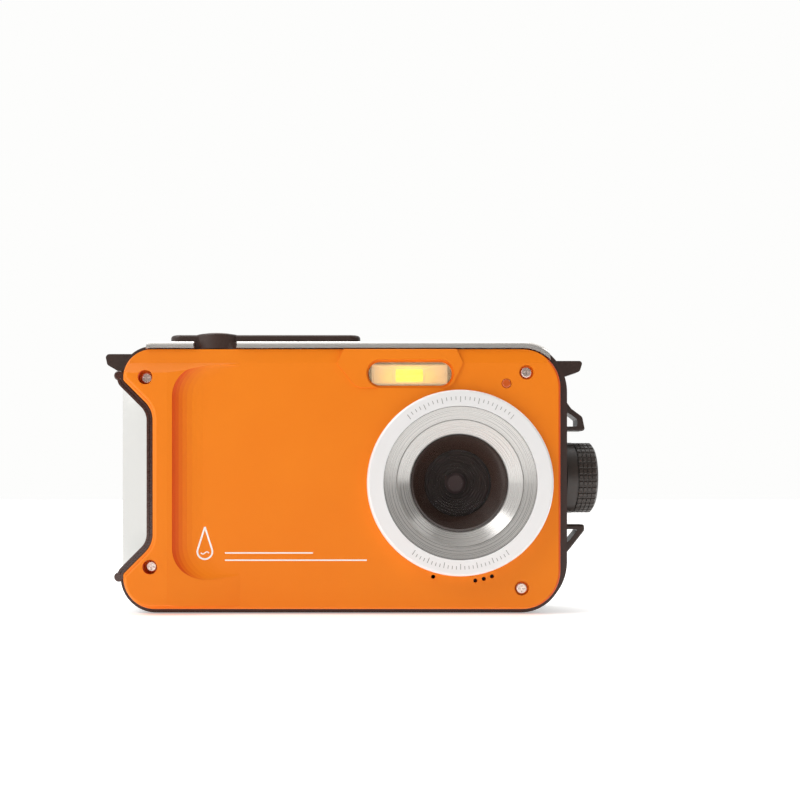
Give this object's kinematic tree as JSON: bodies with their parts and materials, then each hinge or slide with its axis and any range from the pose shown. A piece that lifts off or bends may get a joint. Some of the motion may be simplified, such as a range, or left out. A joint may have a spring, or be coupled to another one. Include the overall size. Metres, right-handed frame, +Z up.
{
  "type": "waterproof compact camera",
  "caption": "Waterproof compact camera with a lens ring, flash, hinged battery door, turning lock knob, sprung shutter, power and rear keys.",
  "frame": {"origin": "mouth of the tripod socket, in the base", "axes": "+X to the right as the front is looked at, the front faces -Y, +Z up"},
  "size_m": [0.1207, 0.0268, 0.0664],
  "materials": {
    "orange_cover": "moulded, satin gloss",
    "dark_housing": "moulded, fine grain",
    "knob_plastic": "moulded, knurled",
    "chrome_trim": "plated",
    "silver_grip": "satin painted",
    "dark_trim": "moulded",
    "silver_ring": "satin silver",
    "brushed_cone": "turned",
    "gloss_bezel": "polished",
    "clear_window": "coated",
    "screen_glass": "polished",
    "screen_dark": "switched off screen",
    "baffle_black": "matt black",
    "lens_glass": "coated",
    "chip_black": "epoxy",
    "board_green": "solder mask",
    "flash_clear": "ribbed",
    "flash_mirror": "plated",
    "flash_glass": "clear",
    "lamp_orange": "tinted",
    "screw_steel": "plated",
    "socket_steel": "stamped",
    "card_black": "moulded",
    "battery_wrap": "film wrapped",
    "holder_black": "moulded",
    "contact_brass": "gold plated",
    "nut_steel": "plated",
    "capacitor_sleeve": "sleeved",
    "speaker_black": "moulded",
    "seal_rubber": "moulded",
    "door_seal_rubber": "moulded silicone",
    "shutter_metal": "satin plated",
    "key_plastic": "moulded"
  },
  "bodies": {
    "camera": {"aperture_plate": "baffle_black", "battery": "battery_wrap", "battery_contacts": "contact_brass", "battery_holder": "holder_black", "body_seals": "seal_rubber", "card_slot": "socket_steel", "chrome_top_trim": "chrome_trim", "door_hinge_pin": "screw_steel", "flash_capacitor": "capacitor_sleeve", "flash_reflector": "flash_mirror", "flash_tube": "flash_glass", "flash_window": "flash_clear", "frame_bay": "dark_housing", "frame_bottom": "dark_housing", "frame_left": "dark_housing", "frame_top": "dark_housing", "front_cover": "orange_cover", "front_screws": "screw_steel", "image_sensor": "chip_black", "keypad_membrane": "seal_rubber", "lens_barrel": "baffle_black", "lens_bezel": "gloss_bezel", "lens_cone": "brushed_cone", "lens_elements": "lens_glass", "lens_ring": "silver_ring", "lens_window": "clear_window", "lens_window_seal": "seal_rubber", "light_baffle": "baffle_black", "main_board": "board_green", "memory_card": "card_black", "microphone": "socket_steel", "processor": "chip_black", "rear_cover": "dark_housing", "screen_panel": "screen_dark", "screen_window": "screen_glass", "shutter_seal": "seal_rubber", "shutter_spring": "screw_steel", "side_grip_panel": "silver_grip", "side_grip_trim": "dark_trim", "speaker": "speaker_black", "timer_lamp": "lamp_orange", "top_panel": "dark_housing", "top_switch_board": "board_green", "tripod_nut": "nut_steel", "usb_socket": "socket_steel"},
    "door": {"battery_door": "dark_housing", "door_seal": "door_seal_rubber"},
    "lock": {"lock_knob": "knob_plastic", "latch_bar": "screw_steel"},
    "shutter": {"shutter_button": "shutter_metal"},
    "power": {"power_button": "key_plastic"},
    "up_key": {"up_button": "key_plastic"},
    "down_key": {"down_button": "key_plastic"},
    "left_key": {"left_button": "key_plastic"},
    "right_key": {"right_button": "key_plastic"},
    "ok_key": {"ok_button": "key_plastic"},
    "menu_key": {"menu_button": "key_plastic"},
    "playback_key": {"playback_button": "key_plastic"},
    "zoom_in_key": {"zoom_in_button": "key_plastic"},
    "zoom_out_key": {"zoom_out_button": "key_plastic"}
  },
  "joints": [
    {"name": "door_hinge", "type": "hinge", "parent": "camera", "child": "door", "pos_m": [0.0514, 0.0101, 0.0325], "axis": [0, 0, 1], "range_deg": [0, 100]},
    {"name": "lock_turn", "type": "hinge", "parent": "door", "child": "lock", "pos_m": [0.055, 0.0015, 0.0321], "axis": [1, 0, 0], "range_deg": [0, 90]},
    {"name": "shutter_press", "type": "slide", "parent": "camera", "child": "shutter", "axis": [0, 0, -1], "range_m": [0, 0.0008], "stiffness_N_per_m": 400, "springref_m": -0.0004, "deforming": ["shutter_spring"]},
    {"name": "power_press", "type": "slide", "parent": "camera", "child": "power", "axis": [0, 0, -1], "range_m": [0, 0.0005], "stiffness_N_per_m": 500, "springref_m": -0.0004},
    {"name": "up_key_press", "type": "slide", "parent": "camera", "child": "up_key", "axis": [0, -1, 0], "range_m": [0, 0.0004], "stiffness_N_per_m": 500, "springref_m": -0.0004},
    {"name": "down_key_press", "type": "slide", "parent": "camera", "child": "down_key", "axis": [0, -1, 0], "range_m": [0, 0.0004], "stiffness_N_per_m": 500, "springref_m": -0.0004},
    {"name": "left_key_press", "type": "slide", "parent": "camera", "child": "left_key", "axis": [0, -1, 0], "range_m": [0, 0.0004], "stiffness_N_per_m": 500, "springref_m": -0.0004},
    {"name": "right_key_press", "type": "slide", "parent": "camera", "child": "right_key", "axis": [0, -1, 0], "range_m": [0, 0.0004], "stiffness_N_per_m": 500, "springref_m": -0.0004},
    {"name": "ok_key_press", "type": "slide", "parent": "camera", "child": "ok_key", "axis": [0, -1, 0], "range_m": [0, 0.0004], "stiffness_N_per_m": 500, "springref_m": -0.0004},
    {"name": "menu_key_press", "type": "slide", "parent": "camera", "child": "menu_key", "axis": [0, -1, 0], "range_m": [0, 0.0004], "stiffness_N_per_m": 500, "springref_m": -0.0004},
    {"name": "playback_key_press", "type": "slide", "parent": "camera", "child": "playback_key", "axis": [0, -1, 0], "range_m": [0, 0.0004], "stiffness_N_per_m": 500, "springref_m": -0.0004},
    {"name": "zoom_in_key_press", "type": "slide", "parent": "camera", "child": "zoom_in_key", "axis": [0, -1, 0], "range_m": [0, 0.0004], "stiffness_N_per_m": 500, "springref_m": -0.0004},
    {"name": "zoom_out_key_press", "type": "slide", "parent": "camera", "child": "zoom_out_key", "axis": [0, -1, 0], "range_m": [0, 0.0004], "stiffness_N_per_m": 500, "springref_m": -0.0004}
  ]
}
